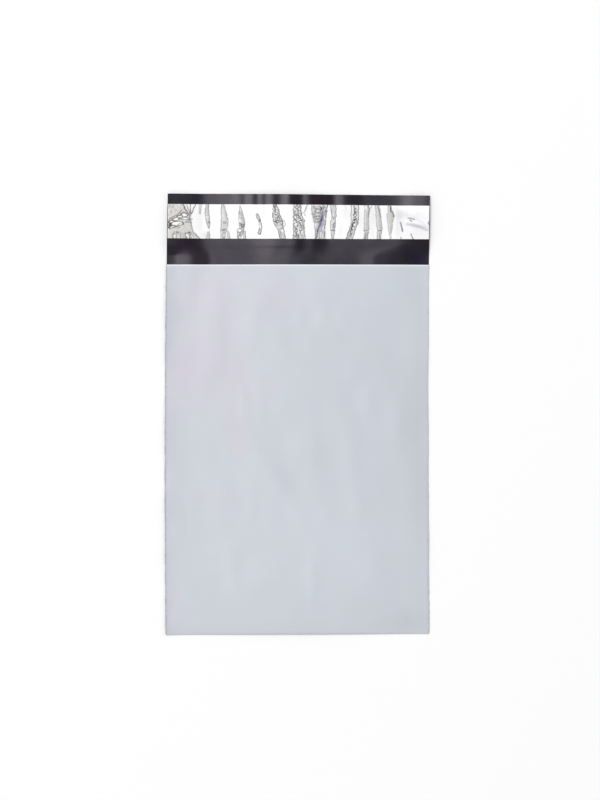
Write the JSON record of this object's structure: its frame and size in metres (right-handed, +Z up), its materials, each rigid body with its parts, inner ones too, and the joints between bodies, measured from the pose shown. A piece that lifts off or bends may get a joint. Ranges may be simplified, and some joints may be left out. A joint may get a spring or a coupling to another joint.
{
  "type": "poly mailer bag",
  "caption": "Flat film shipping bag with welded sides, a folded bottom, an open mouth and a long flap that carries an adhesive strip under a peel-off release liner.",
  "frame": {"origin": "under the middle of the whole outline, on the surface that the bag lies on", "axes": "+X across the bag, +Y from the bottom fold to the flap's free edge, +Z up out of the front panel"},
  "size_m": [0.1906, 0.3174, 0.0063],
  "materials": {
    "film": "co-extruded polyethylene film, pale grey satin outside and charcoal inside",
    "adhesive": "clear hot-melt adhesive, glossy",
    "liner": "silicone-coated release film, silvery white and glossy, lifted in crackled tunnels"
  },
  "bodies": {
    "root": {"pouch": "film", "adhesive_strip": "adhesive", "release_liner": "liner"}
  },
  "joints": []
}
